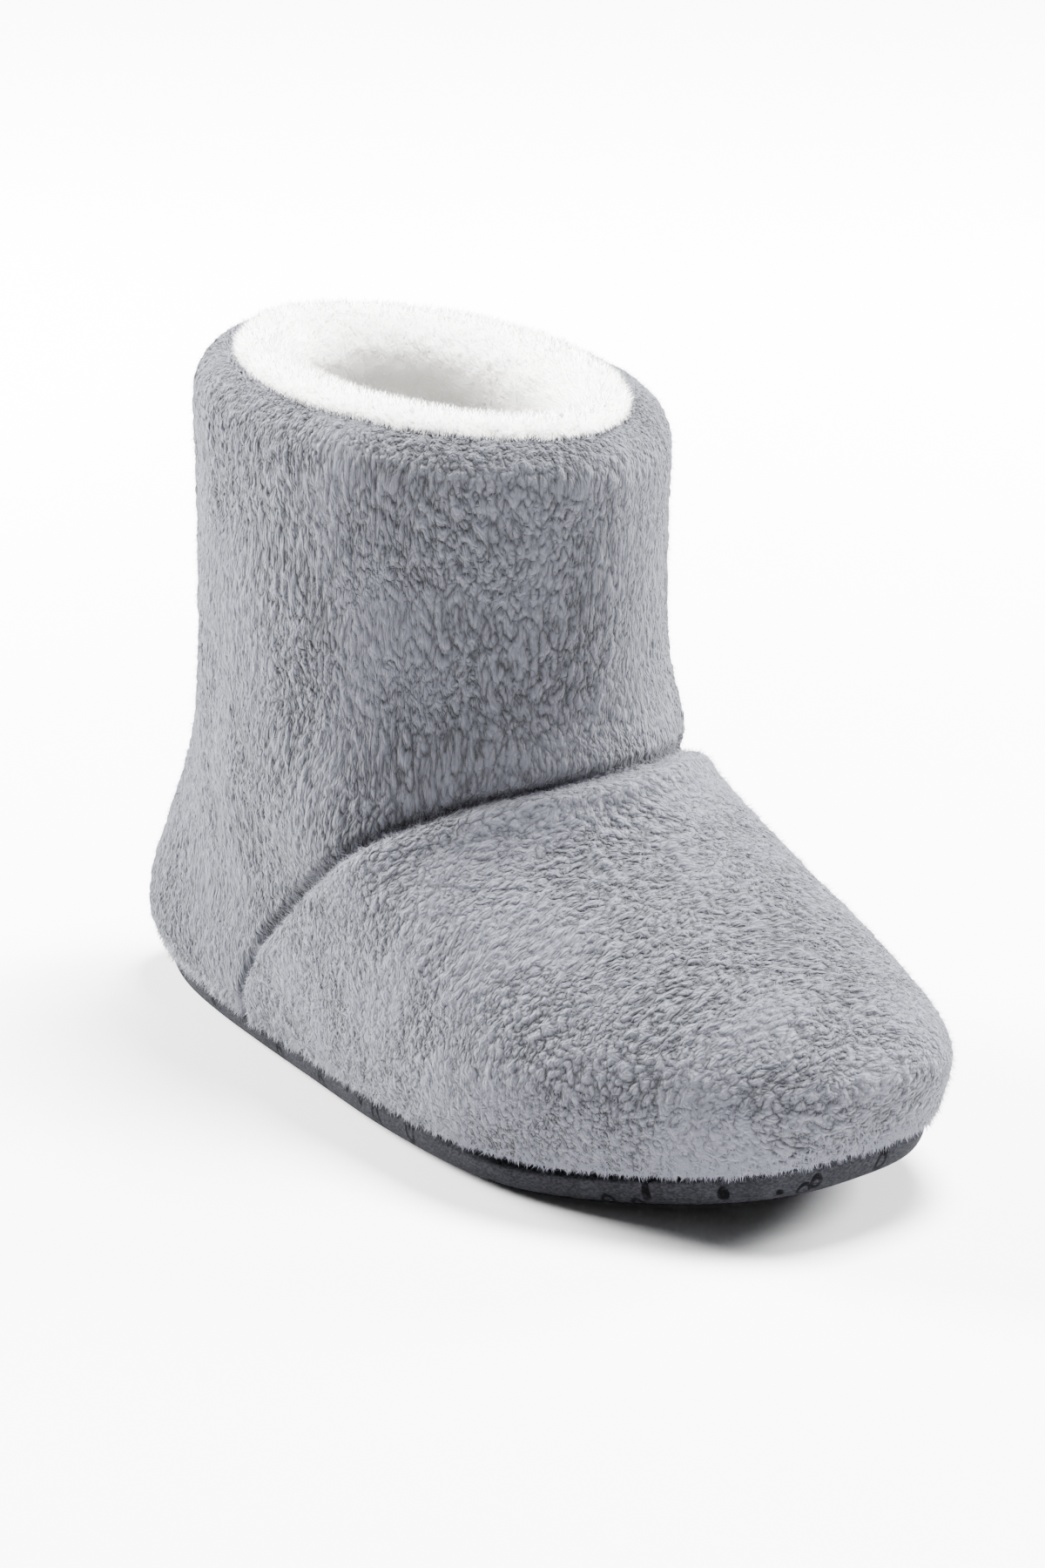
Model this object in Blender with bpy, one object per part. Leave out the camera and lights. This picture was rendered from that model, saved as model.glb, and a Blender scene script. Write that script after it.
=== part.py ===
"""Bootie slipper for the right foot: plush upper, thick pile lining, padded insole and soft sole.

Metres. +X runs to the toe, +Y to the inner side of the foot and +Z up. The last is worked out with
its heel at X = 0 and flat underneath. It is then bent up at the toe, and the finished pieces are moved
together so that the origin lies under the middle of the shoe, on the floor.
"""

import math
from collections import namedtuple

import bmesh
import bpy
import numpy as np

# Lengths of the last, from the heel end of the sole
SOLE_LENGTH = 0.262
BALL_WIDTH = 0.1106
HEEL_SET_IN = 0.0155
SHAFT_LENGTH = 0.143
SHAFT_WIDTH = 0.111
SHAFT_LEAN_IN = 0.0045

# Heights from the floor
SOLE_THICKNESS = 0.0102
INSTEP_HEIGHT = 0.0930
COLLAR_HEIGHT = 0.1812

# Bends of the finished shoe
TOE_SPRING = 0.0115
TOE_BREAK = 0.180
LIFT_FADE = 0.060
COLLAR_SLOPE = -0.049
BEND_LIMIT = 1.2

# Walls and clearance
UPPER_WALL = 0.0050
LINING_PILE = 0.0090
INSOLE_THICKNESS = 0.0060
TURNED_EDGE = 0.0060
TURN_HEIGHT = 0.0145
GAP = 0.0003
INSOLE_CLEARANCE = 0.0004

# Collar
COLLAR_ROLL = 0.0120
RIM_WIDTH = 0.0190
RIM_PUFF = 0.0016
RIM_DEPTH = 0.0600
ROLL_END = math.radians(88)

# Edges and underside of the sole
SOLE_ROUND = 0.0080
INSOLE_ROUND = 0.0020
ARCH_RISE = 0.0016
ARCH_START = 0.082
ARCH_END = 0.150

# Shape of the plan outline: under 1 is blunter than an ellipse, over 1 is more pointed
FOOT_BLUNTNESS = 0.66
SHAFT_BLUNTNESS = 1.10

# Divisions of the meshes
COLUMNS = 60
VAMP_ROWS = 10
SHAFT_ROWS = 9
WALL_ROWS = 11
ROLL_ROWS = 5
ACROSS = 5
FINE = 161
FINER = 4 * FINE
COLUMN_TURN = 0.025
ROW_TURN = 0.022
SEAM_CROWD = 1.6
HEEL_LINE = 0.024
HEEL_SQUEEZE = 0.6

# Height 0 is the feather edge, 1 the throat and 2 the top of the collar. Back is a share of the heel's
# set-in, shaft a share of the shaft's length, reach the share of the way from there to the toe, width a
# share of the ball or shaft width, and oval how far the outline has turned from a foot into an oval.
Section = namedtuple("Section", "height back shaft reach width oval")
SECTIONS = (
    Section(0.000, 0.00, 1.05, 1.00, 0.99, 0.00),
    Section(0.087, -0.39, 1.05, 1.04, 1.07, 0.00),
    Section(0.236, -0.34, 1.05, 1.07, 1.10, 0.00),
    Section(0.387, -0.06, 1.05, 0.99, 1.08, 0.08),
    Section(0.537, 0.25, 1.05, 0.78, 1.06, 0.22),
    Section(0.687, 0.57, 1.05, 0.46, 1.06, 0.42),
    Section(0.836, 0.88, 1.05, 0.11, 1.05, 0.66),
    Section(1.000, 1.00, 1.05, 0.00, 1.04, 0.90),
    Section(1.149, 1.01, 1.01, 0.00, 1.02, 1.00),
    Section(1.398, 1.00, 1.00, 0.00, 1.00, 1.00),
    Section(1.700, 0.88, 1.01, 0.00, 0.99, 1.00),
    Section(2.000, 0.74, 1.03, 0.00, 0.985, 1.00),
)

# Fullness of the foot outline on its outer and inner side, at shares of the length from the heel
Outline = namedtuple("Outline", "along outer inner")
OUTLINE = (
    Outline(0.00, 0.89, 0.85),
    Outline(0.15, 0.85, 0.87),
    Outline(0.35, 0.91, 0.88),
    Outline(0.55, 1.06, 0.93),
    Outline(0.72, 1.15, 0.98),
    Outline(0.87, 1.03, 1.01),
    Outline(1.00, 0.96, 1.00),
)

# The seam between vamp and shaft in side view: rise 0 is the feather edge and 1 the throat, and along is
# the share of the way from the heel end to the throat
Seam = namedtuple("Seam", "rise along")
SEAM = (
    Seam(0.000, 0.419),
    Seam(0.075, 0.434),
    Seam(0.185, 0.458),
    Seam(0.320, 0.506),
    Seam(0.530, 0.620),
    Seam(0.685, 0.719),
    Seam(0.815, 0.790),
    Seam(0.880, 0.843),
    Seam(0.945, 0.904),
    Seam(1.000, 1.000),
)

# Relief of the plush beside the seam, as shares of SEAM_STEP, at shares of SEAM_REACH ahead of the seam.
# SEAM_FOOT is the share of it that is left where the seam runs out on the sole.
SEAM_STEP = 0.0030
SEAM_REACH = 0.0200
SEAM_FOOT = 0.45
Relief = namedtuple("Relief", "ahead rise")
RELIEF = (
    Relief(-1.00, 0.00),
    Relief(-0.42, -0.18),
    Relief(-0.17, -0.50),
    Relief(0.00, -1.00),
    Relief(0.09, -0.25),
    Relief(0.22, 0.28),
    Relief(0.50, 0.36),
    Relief(1.00, 0.15),
    Relief(1.80, 0.00),
)
SEAM_ROWS = (1.00, 0.50, 0.22, 0.09, 0.00, -0.17, -0.42, -1.00)

# The white rim in section: across is the share of the rim's width from the plush inwards, and fall the
# share of the way down from the top of the pile
Rim = namedtuple("Rim", "across fall")
RIM_TOP = (
    Rim(0.03, 0.058),
    Rim(0.13, 0.020),
    Rim(0.33, 0.000),
    Rim(0.56, 0.000),
    Rim(0.77, 0.030),
    Rim(0.93, 0.090),
    Rim(1.00, 0.170),
)
# Below its widest the pile hangs back to the plain lining: spread is the share of the rim's overhang left
RIM_HANG = (
    Rim(0.96, 0.285),
    Rim(0.78, 0.430),
    Rim(0.47, 0.610),
    Rim(0.16, 0.790),
    Rim(0.00, 1.000),
)

# Side of the outsole and of the insole: inward is a share of the edge's rounding, level of the thickness
Edge = namedtuple("Edge", "inward level")
OUTSOLE_EDGE = (
    Edge(1.00, 0.00),
    Edge(0.42, 0.14),
    Edge(0.12, 0.42),
    Edge(0.00, 0.76),
    Edge(0.08, 1.00),
)
INSOLE_EDGE = (
    Edge(0.80, 0.00),
    Edge(0.00, 0.30),
    Edge(0.00, 0.75),
    Edge(0.90, 1.00),
)

# Colour, roughness and metallic value of each piece
Finish = namedtuple("Finish", "colour roughness metallic")
FINISHES = {
    "upper": Finish((0.34, 0.37, 0.41), 0.95, 0.0),
    "lining": Finish((0.88, 0.87, 0.84), 0.95, 0.0),
    "insole": Finish((0.80, 0.79, 0.76), 0.95, 0.0),
    "outsole": Finish((0.075, 0.08, 0.09), 0.9, 0.0),
}

FEATHER = SOLE_THICKNESS + GAP
THROAT_ROW = next(row for row in SECTIONS if row.height == 1.0)
THROAT = HEEL_SET_IN + THROAT_ROW.shaft * SHAFT_LENGTH
INNER_ROLL = COLLAR_ROLL - UPPER_WALL
LINING_FACE = UPPER_WALL + GAP
LINING_BACK = LINING_FACE + LINING_PILE


def column(rows, name):
    """One named column of a table, as an array."""
    return np.array([getattr(row, name) for row in rows])


def curve(known, values, at):
    """A smooth curve through a table's values, read at any places."""
    at = np.asarray(at, float)
    step = np.diff(known)
    slope = np.diff(values) / step
    middle = (slope[:-1] * step[1:] + slope[1:] * step[:-1]) / (step[:-1] + step[1:])
    tangent = np.concatenate([slope[:1], middle, slope[-1:]])
    index = np.clip(np.searchsorted(known, at) - 1, 0, len(known) - 2)
    width = step[index]
    t = (at - known[index]) / width
    start = (2 * t**3 - 3 * t**2 + 1) * values[index] + (t**3 - 2 * t**2 + t) * width * tangent[index]
    end = (3 * t**2 - 2 * t**3) * values[index + 1] + (t**3 - t**2) * width * tangent[index + 1]
    return start + end


def height_of(z):
    """Height on the scale of the section table: 0 feather edge, 1 throat, 2 collar."""
    return np.interp(z, (FEATHER, INSTEP_HEIGHT, COLLAR_HEIGHT), (0.0, 1.0, 2.0))


def last_point(angle, z, inset=0.0):
    """Point of the plain last. Angle 0 is the heel and pi the toe, going by the outer side of the foot."""
    height = height_of(z)
    known = column(SECTIONS, "height")
    back = curve(known, column(SECTIONS, "back"), height) * HEEL_SET_IN
    shaft = curve(known, column(SECTIONS, "shaft"), height) * SHAFT_LENGTH + HEEL_SET_IN
    front = shaft + curve(known, column(SECTIONS, "reach"), height) * (SOLE_LENGTH - shaft)
    oval = np.clip(curve(known, column(SECTIONS, "oval"), height), 0.0, 1.0)
    full = (1.0 - oval) * BALL_WIDTH + oval * SHAFT_WIDTH
    half = curve(known, column(SECTIONS, "width"), height) * full / 2 - inset
    along = (1.0 - np.cos(angle)) / 2
    side = np.sin(angle)
    outer = curve(column(OUTLINE, "along"), column(OUTLINE, "outer"), along)
    inner = curve(column(OUTLINE, "along"), column(OUTLINE, "inner"), along)
    fullness = np.where(side >= 0, outer, inner) * (1.0 - oval) + oval
    bluntness = FOOT_BLUNTNESS * (1.0 - oval) + SHAFT_BLUNTNESS * oval
    x = back + inset + (front - back - 2 * inset) * along
    y = -np.sign(side) * np.abs(side) ** bluntness * fullness * half + SHAFT_LEAN_IN * oval
    return np.stack(np.broadcast_arrays(x, y, z), axis=-1)


def outward(angle, z):
    """Direction square to the surface of the last, pointing out of the shoe."""
    turn = 0.01
    climb = 0.0005
    low = np.maximum(z - climb, FEATHER)
    high = np.minimum(z + climb, COLLAR_HEIGHT)
    round_it = last_point(angle + turn, z) - last_point(angle - turn, z)
    up_it = last_point(angle, high) - last_point(angle, low)
    square = np.cross(round_it, up_it)
    return square / np.linalg.norm(square, axis=-1, keepdims=True)


def under(angle, z, depth):
    """Point at a depth under the surface of the last."""
    return last_point(angle, z) - outward(angle, z) * depth


def ahead_of_seam(points):
    """How far each point lies ahead of the seam in side view, towards the vamp."""
    rise = (points[..., 2] - FEATHER) / (INSTEP_HEIGHT - FEATHER)
    known = column(SEAM, "rise")
    along = column(SEAM, "along")
    share = np.interp(rise, known, along)
    last_step = (along[-1] - along[-2]) / (known[-1] - known[-2])
    share = np.where(rise > 1.0, along[-1] + (rise - 1.0) * last_step, share)
    reading = 0.03
    before = np.interp(rise - reading, known, along)
    after = np.interp(rise + reading, known, along)
    slope = np.where(rise > 1.0, last_step, (after - before) / (2 * reading))
    run = slope * THROAT / (INSTEP_HEIGHT - FEATHER)
    return (points[..., 0] - share * THROAT) / np.sqrt(1.0 + run**2)


def settled(points):
    """The finished stance: the toe is bent up, and the collar slopes down to the front."""
    x = points[..., 0]
    z = points[..., 2]
    bend = np.clip((x - TOE_BREAK) / (SOLE_LENGTH - TOE_BREAK), 0.0, BEND_LIMIT) ** 2
    fade = 1.0 - np.clip((z - FEATHER) / LIFT_FADE, 0.0, 1.0)
    shaft_share = np.clip((z - INSTEP_HEIGHT) / (COLLAR_HEIGHT - INSTEP_HEIGHT), 0.0, 1.0)
    middle = HEEL_SET_IN + SHAFT_LENGTH / 2
    lift = TOE_SPRING * bend * fade + COLLAR_SLOPE * (x - middle) * shaft_share
    return points + np.stack([np.zeros_like(lift), np.zeros_like(lift), lift], axis=-1)


def travel(points, turn_length):
    """Distance gone along rows of points. A tight bend counts as longer, so that it gets more rows."""
    steps = np.diff(points, axis=0)
    length = np.linalg.norm(steps, axis=-1)
    way = steps / np.maximum(length, 1e-9)[..., None]
    straight = np.clip((way[1:] * way[:-1]).sum(axis=-1), -1.0, 1.0)
    gone = length.copy()
    gone[1:] += turn_length * np.arccos(straight)
    return np.concatenate([np.zeros_like(gone[:1]), np.cumsum(gone, axis=0)])


def round_angles():
    """Angles round the foot, the same on both sides, closer at toe and heel and where the seam ends."""
    fine = np.linspace(0.0, math.pi, FINER)
    edge = last_point(fine, np.full_like(fine, FEATHER))
    gone = np.diff(travel(edge, COLUMN_TURN))
    from_seam = (edge[1:, 0] - SEAM[0].along * THROAT) / SEAM_REACH
    run = np.concatenate([[0.0], np.cumsum(gone * (1.0 + SEAM_CROWD * np.exp(-(from_seam**2))))])
    side = np.interp(np.linspace(0.0, run[-1], COLUMNS // 2 + 1), run, fine)
    return np.concatenate([side, 2 * math.pi - side[-2:0:-1]])


def spread_heights(angles, low, high, rows):
    """Heights between two rows of heights, spread along the surface, one column for each angle."""
    share = np.linspace(0.0, 1.0, FINE)[:, None]
    fine = low + (high - low) * share
    run = travel(last_point(angles[None, :], fine), ROW_TURN)
    wanted = np.linspace(0.0, 1.0, rows)
    columns = [np.interp(wanted * run[-1, i], run[:, i], fine[:, i]) for i in range(len(angles))]
    return np.array(columns).T


def seam_heights(angles, top):
    """Heights of the rows beside the seam in each column. Round the heel they keep level at HEEL_LINE."""
    share = np.linspace(0.0, 1.0, FINER)[:, None]
    fine = FEATHER + (top - FEATHER) * share * np.ones((1, len(angles)))
    ahead = ahead_of_seam(last_point(angles[None, :], fine))
    falling = np.minimum.accumulate(ahead, axis=0)
    rows = []
    for place in SEAM_ROWS:
        target = place * SEAM_REACH
        level = FEATHER + HEEL_LINE - target * HEEL_SQUEEZE
        crossing = [np.interp(-target, -falling[:, i], fine[:, i]) for i in range(len(angles))]
        rows.append(np.maximum(crossing, level))
    return np.array(rows)


def plush_face(angles):
    """Outer face of the upper from the feather edge to the start of the collar roll, row by row."""
    top = np.full(len(angles), COLLAR_HEIGHT - COLLAR_ROLL)
    beside = seam_heights(angles, top)
    feather = np.full(len(angles), FEATHER)
    vamp = spread_heights(angles, feather, beside[0], VAMP_ROWS)[:-1]
    shaft = spread_heights(angles, beside[-1], top, SHAFT_ROWS)[1:]
    heights = np.concatenate([vamp, beside, shaft])
    points = last_point(angles[None, :], heights)
    place = ahead_of_seam(points) / SEAM_REACH
    relief = np.interp(place, column(RELIEF, "ahead"), column(RELIEF, "rise"))
    way = outward(angles[None, :], heights)
    way[..., 2] *= np.clip((heights - FEATHER) / TURNED_EDGE, 0.0, 1.0)
    relief *= SEAM_STEP * np.clip((heights - FEATHER) / SEAM_REACH, SEAM_FOOT, 1.0)
    return points + way * relief[..., None]


def roll(angles, radius, rows):
    """Quarter turn over the collar, on a radius about the centre of the collar roll."""
    turned = []
    for turn in np.linspace(0.0, ROLL_END, rows + 1)[1:]:
        inset = COLLAR_ROLL - radius * math.cos(turn)
        z = COLLAR_HEIGHT - COLLAR_ROLL + radius * math.sin(turn)
        turned.append(last_point(angles, np.full(len(angles), z), inset))
    return np.array(turned)


def wall_face(angles, depth, bottom):
    """Face inside the shell at a depth under the last. It ends below in the turned-in edge."""
    turn = np.full(len(angles), FEATHER + TURN_HEIGHT)
    top = np.full(len(angles), COLLAR_HEIGHT - COLLAR_ROLL)
    heights = spread_heights(angles, turn, top, WALL_ROWS)
    face = under(angles[None, :], heights, depth)
    edge_inset = TURNED_EDGE + depth - UPPER_WALL
    edge = last_point(angles, np.full(len(angles), FEATHER), edge_inset)
    share = (bottom - FEATHER) / (face[0, :, 2] - FEATHER)
    foot = edge + (face[0] - edge) * share[:, None]
    return np.concatenate([foot[None], face])


def quad(mesh, low_left, low_right, high_right, high_left):
    """A step of a surface as two triangles. The diagonal runs from low left to high right on every piece."""
    for corners in ((low_left, low_right, high_right), (low_left, high_right, high_left)):
        if len(set(corners)) == 3:
            mesh.faces.new(corners)


def band(mesh, here, above):
    """The faces between two rows, whose diagonals climb the same way on both sides of a wall."""
    count = len(here)
    for i in range(count):
        j = (i + 1) % count
        if here[i].co.z <= above[i].co.z:
            quad(mesh, here[i], here[j], above[j], above[i])
        else:
            quad(mesh, above[i], here[i], here[j], above[j])


def solid_loop(rows):
    """Closed shell from rows of points: each row closes round the foot, and the rows close on each other."""
    mesh = bmesh.new()
    grid = [[mesh.verts.new(point) for point in row] for row in settled(rows)]
    for here, above in zip(grid, grid[1:] + grid[:1]):
        band(mesh, here, above)
    return mesh


def rung(left, right):
    """Points straight across the shoe, from one side of a rim to the other."""
    share = np.linspace(0.0, 1.0, ACROSS + 1)[1:-1, None]
    return left + (right - left) * share


def arch(points):
    """Rise of the underside between heel and ball, more on the inner side of the foot."""
    share = np.clip((points[..., 0] - ARCH_START) / (ARCH_END - ARCH_START), 0.0, 1.0)
    inner_side = 0.5 + points[..., 1] / BALL_WIDTH
    return ARCH_RISE * np.sin(math.pi * share) ** 2 * np.clip(inner_side, 0.0, 1.0)


def pad(angles, base, thickness, rounding, inset, edge, arched):
    """Flat padded slab in the outline of the foot, with a shaped edge."""
    rim_rows = []
    for row in edge:
        height = np.full(len(angles), FEATHER)
        rim = last_point(angles, height, inset + row.inward * rounding)
        rim[:, 2] = base + row.level * thickness
        rim_rows.append(rim)
    mesh = bmesh.new()

    def placed(points):
        """Vertices at points that are bent with the shoe, and arched where they are the underside."""
        points = settled(points)
        if arched:
            low = 1.0 - np.clip((points[..., 2] - base) / thickness, 0.0, 1.0)
            points[..., 2] += arch(points) * low
        return [mesh.verts.new(point) for point in points]

    grid = [placed(row) for row in rim_rows]
    half = len(angles) // 2
    for here, above in zip(grid, grid[1:]):
        band(mesh, here, above)
    for rim, verts, upward in ((rim_rows[0], grid[0], False), (rim_rows[-1], grid[-1], True)):
        rungs = [[verts[0]] * (ACROSS + 1)]
        for i in range(1, half):
            middle = placed(rung(rim[i], rim[-i]))
            rungs.append([verts[i]] + middle + [verts[-i]])
        rungs.append([verts[half]] * (ACROSS + 1))
        for behind, front in zip(rungs, rungs[1:]):
            for k in range(ACROSS):
                if upward:
                    quad(mesh, behind[k], front[k], front[k + 1], behind[k + 1])
                else:
                    quad(mesh, behind[k], behind[k + 1], front[k + 1], front[k])
    return mesh


def build_upper():
    """Plush shell: outer face, roll over the collar and inner face, open at the collar and underneath."""
    angles = round_angles()
    outer = np.concatenate([plush_face(angles), roll(angles, COLLAR_ROLL, ROLL_ROWS)])
    inner = np.concatenate(
        [wall_face(angles, UPPER_WALL, FEATHER), roll(angles, INNER_ROLL, ROLL_ROWS - 1)]
    )
    return solid_loop(np.concatenate([outer, inner[::-1]]))


def build_lining():
    """Pile lining against the shell, filled out into the rim at the collar."""
    angles = round_angles()
    foot = FEATHER + INSOLE_THICKNESS + GAP
    face = wall_face(angles, LINING_FACE, foot)
    over = roll(angles, INNER_ROLL - GAP, ROLL_ROWS - 2)
    rim_fall = RIM_DEPTH + RIM_PUFF
    rim = []
    for row in RIM_TOP:
        inset = COLLAR_ROLL + row.across * RIM_WIDTH
        rim.append((inset, COLLAR_HEIGHT + RIM_PUFF - row.fall * rim_fall))
    for row in RIM_HANG:
        inset = LINING_BACK + row.across * (COLLAR_ROLL + RIM_WIDTH - LINING_BACK)
        rim.append((inset, COLLAR_HEIGHT + RIM_PUFF - row.fall * rim_fall))
    rim_rows = []
    for inset, z in rim:
        row = last_point(angles, np.full(len(angles), min(z, COLLAR_HEIGHT)), inset)
        row[:, 2] = z
        rim_rows.append(row)
    turn = np.full(len(angles), FEATHER + TURN_HEIGHT)
    top = np.full(len(angles), rim[-1][1])
    heights = spread_heights(angles, turn, top, WALL_ROWS - 2)
    back = under(angles[None, :], heights, LINING_BACK)[:-1]
    hem = back[0].copy()
    hem[:, 2] = foot
    return solid_loop(np.concatenate([face, over, np.array(rim_rows), back[::-1], hem[None]]))


def build_outsole():
    """Soft sole: flat under heel and ball, arched between them, with a rounded lower edge."""
    return pad(round_angles(), 0.0, SOLE_THICKNESS, SOLE_ROUND, 0.0, OUTSOLE_EDGE, True)


def build_insole():
    """Padded footbed on the outsole, inside the turned-in edge of the upper."""
    inset = TURNED_EDGE + INSOLE_CLEARANCE
    return pad(round_angles(), FEATHER, INSOLE_THICKNESS, INSOLE_ROUND, inset, INSOLE_EDGE, False)


def finish(name):
    """Principled material of one piece."""
    material = bpy.data.materials.new(name)
    material.use_nodes = True
    shader = material.node_tree.nodes["Principled BSDF"]
    shader.inputs["Base Color"].default_value = (*FINISHES[name].colour, 1.0)
    shader.inputs["Roughness"].default_value = FINISHES[name].roughness
    shader.inputs["Metallic"].default_value = FINISHES[name].metallic
    return material


def add_piece(name, mesh, collection, stand):
    """One named object from its mesh, carried by the empty that stands under the shoe."""
    data = bpy.data.meshes.new(name)
    mesh.to_mesh(data)
    mesh.free()
    data.materials.append(finish(name))
    data.shade_smooth()
    piece = bpy.data.objects.new(name, data)
    piece.parent = stand
    collection.objects.link(piece)
    return piece


def main():
    """Build the slipper in a collection of its own."""
    for thing in list(bpy.data.objects):
        bpy.data.objects.remove(thing)
    collection = bpy.data.collections.new("bootie slipper")
    bpy.context.scene.collection.children.link(collection)
    stand = bpy.data.objects.new("stand", None)
    collection.objects.link(stand)
    add_piece("outsole", build_outsole(), collection, stand)
    upper = add_piece("upper", build_upper(), collection, stand)
    add_piece("lining", build_lining(), collection, stand)
    add_piece("insole", build_insole(), collection, stand)
    corners = np.array([corner[:] for corner in upper.bound_box])
    middle = (corners.min(axis=0) + corners.max(axis=0)) / 2
    stand.location = (-middle[0], -middle[1], 0.0)


main()
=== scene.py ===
"""Bootie slipper for the right foot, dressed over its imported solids.

The plush of the upper is two skins, vamp and shaft, that meet in a deep seam. The white pile lining fills
out into the rim at the collar, and a cloth cover closes the soft sole. Metres, +X to the toe, +Y to the
inner side of the foot and +Z up.
"""

from __future__ import annotations

import logging
import math
from dataclasses import dataclass, replace
from enum import Enum

import bpy
import numpy as np
from mathutils import Euler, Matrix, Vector
from mathutils.bvhtree import BVHTree


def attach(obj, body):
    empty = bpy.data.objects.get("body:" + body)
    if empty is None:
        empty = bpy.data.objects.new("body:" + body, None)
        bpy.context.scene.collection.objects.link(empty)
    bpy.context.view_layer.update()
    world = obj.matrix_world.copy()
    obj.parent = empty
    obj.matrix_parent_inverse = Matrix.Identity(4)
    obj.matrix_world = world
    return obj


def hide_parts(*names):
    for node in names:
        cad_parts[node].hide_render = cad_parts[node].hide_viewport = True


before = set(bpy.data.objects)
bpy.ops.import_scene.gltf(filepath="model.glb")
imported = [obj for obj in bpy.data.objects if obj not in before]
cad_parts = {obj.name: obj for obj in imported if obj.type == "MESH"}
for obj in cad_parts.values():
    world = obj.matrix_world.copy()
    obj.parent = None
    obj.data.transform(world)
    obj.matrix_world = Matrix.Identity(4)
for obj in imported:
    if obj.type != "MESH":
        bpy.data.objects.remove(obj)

LOG = logging.getLogger("slipper")
Triple = tuple[float, float, float]
Tint = Triple | bpy.types.NodeSocket


class Value:
    """A number on its way through a node tree. Python's operators on it add Math nodes."""

    def __init__(self, bench: Bench, socket: bpy.types.NodeSocket) -> None:
        """Keeps the tree that the number belongs to.

        Args:
            bench: The tree under construction.
            socket: The output socket that gives the number.
        """
        self.bench = bench
        self.socket = socket

    def apply(self, operation: str, *others: Value | float) -> Value:
        """Adds a Math node that works on this number first.

        Args:
            operation: Name of the Math node's operation.
            others: The other numbers that it takes.

        Returns:
            The result.
        """
        return self.bench.sum_up(operation, self, *others)

    def __add__(self, other: Value | float) -> Value:
        """Sum."""
        return self.apply("ADD", other)

    def __radd__(self, other: float) -> Value:
        """Sum, the number first."""
        return self.apply("ADD", other)

    def __sub__(self, other: Value | float) -> Value:
        """Difference."""
        return self.apply("SUBTRACT", other)

    def __rsub__(self, other: float) -> Value:
        """Difference, the number first."""
        return self.bench.sum_up("SUBTRACT", other, self)

    def __mul__(self, other: Value | float) -> Value:
        """Product."""
        return self.apply("MULTIPLY", other)

    def __rmul__(self, other: float) -> Value:
        """Product, the number first."""
        return self.apply("MULTIPLY", other)

    def size(self) -> Value:
        """The number without its sign."""
        return self.apply("ABSOLUTE")

    def step(self, low: float, high: float) -> Value:
        """Smooth step from 0 at low to 1 at high.

        Args:
            low: Where the step starts.
            high: Where it is done.

        Returns:
            The step, from 0 to 1.
        """
        settings = {"interpolation_type": "SMOOTHSTEP"}
        sockets = {"Value": self, "From Min": low, "From Max": high}
        return Value(self.bench, self.bench.node("ShaderNodeMapRange", settings, sockets).outputs[0])


@dataclass
class Bench:
    """A node tree under construction, of a material or of a shape."""

    tree: bpy.types.NodeTree

    def node(
        self, kind: str, settings: dict[str, object], sockets: dict[str | int, object]
    ) -> bpy.types.Node:
        """Adds a node. Its settings go in before its sockets.

        Args:
            kind: Type of the node.
            settings: Its properties.
            sockets: Values or links of its inputs, by name or number.

        Returns:
            The node.
        """
        made = self.tree.nodes.new(kind)
        for name, setting in settings.items():
            setattr(made, name, setting)
        self.plug(made, sockets)
        return made

    def plug(self, made: bpy.types.Node, sockets: dict[str | int, object]) -> None:
        """Links or sets the inputs of a node.

        Args:
            made: The node.
            sockets: Values or links of its inputs, by name or number.
        """
        for key, given in sockets.items():
            if isinstance(given, Value):
                given = given.socket
            if isinstance(given, bpy.types.NodeSocket):
                self.tree.links.new(given, made.inputs[key])
            else:
                made.inputs[key].default_value = given

    def sum_up(self, operation: str, *numbers: Value | float) -> Value:
        """Adds a Math node.

        Args:
            operation: Name of its operation.
            numbers: What it works on, in order.

        Returns:
            The result.
        """
        made = self.node("ShaderNodeMath", {"operation": operation}, dict(enumerate(numbers)))
        return Value(self, made.outputs[0])

    def vector(self, operation: str, sockets: dict[str | int, object]) -> bpy.types.NodeSocket:
        """Adds a Vector Math node.

        Args:
            operation: Name of its operation.
            sockets: Values or links of its inputs, by name or number.

        Returns:
            The resulting vector.
        """
        return self.node("ShaderNodeVectorMath", {"operation": operation}, sockets).outputs[0]

    def scaled(self, place: bpy.types.NodeSocket, factors: Triple) -> bpy.types.NodeSocket:
        """A place with each of its coordinates multiplied.

        Args:
            place: The place.
            factors: One factor for each axis.

        Returns:
            The scaled place.
        """
        return self.vector("MULTIPLY", {0: place, 1: factors})

    def noise(self, place: bpy.types.NodeSocket, length: float, detail: float = 0.0) -> Value:
        """Cloudy noise about 0, whose clouds are about as long as given.

        Args:
            place: Where it is read.
            length: Length of its clouds in metres.
            detail: Octaves of finer noise on top.

        Returns:
            The noise, about half a unit either way.
        """
        sockets = {"Vector": place, "Scale": 1.0 / length, "Detail": detail}
        return Value(self, self.node("ShaderNodeTexNoise", {}, sockets).outputs[0]) - 0.5

    def mixed(self, share: Value, low: Tint, high: Tint) -> bpy.types.NodeSocket:
        """A colour between two.

        Args:
            share: 0 for the low colour and 1 for the high one.
            low: Colour at 0.
            high: Colour at 1.

        Returns:
            The colour.
        """
        sockets = {0: share}
        for index, colour in ((6, low), (7, high)):
            sockets[index] = colour if isinstance(colour, bpy.types.NodeSocket) else (*colour, 1.0)
        return self.node("ShaderNodeMix", {"data_type": "RGBA"}, sockets).outputs[2]

    def bumped(self, height: Value) -> bpy.types.NodeSocket:
        """Normals of a surface with a fine relief, whose height is in metres."""
        sockets = {"Height": height, "Distance": 1.0, "Strength": 1.0}
        return self.node("ShaderNodeBump", {}, sockets).outputs[0]


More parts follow.
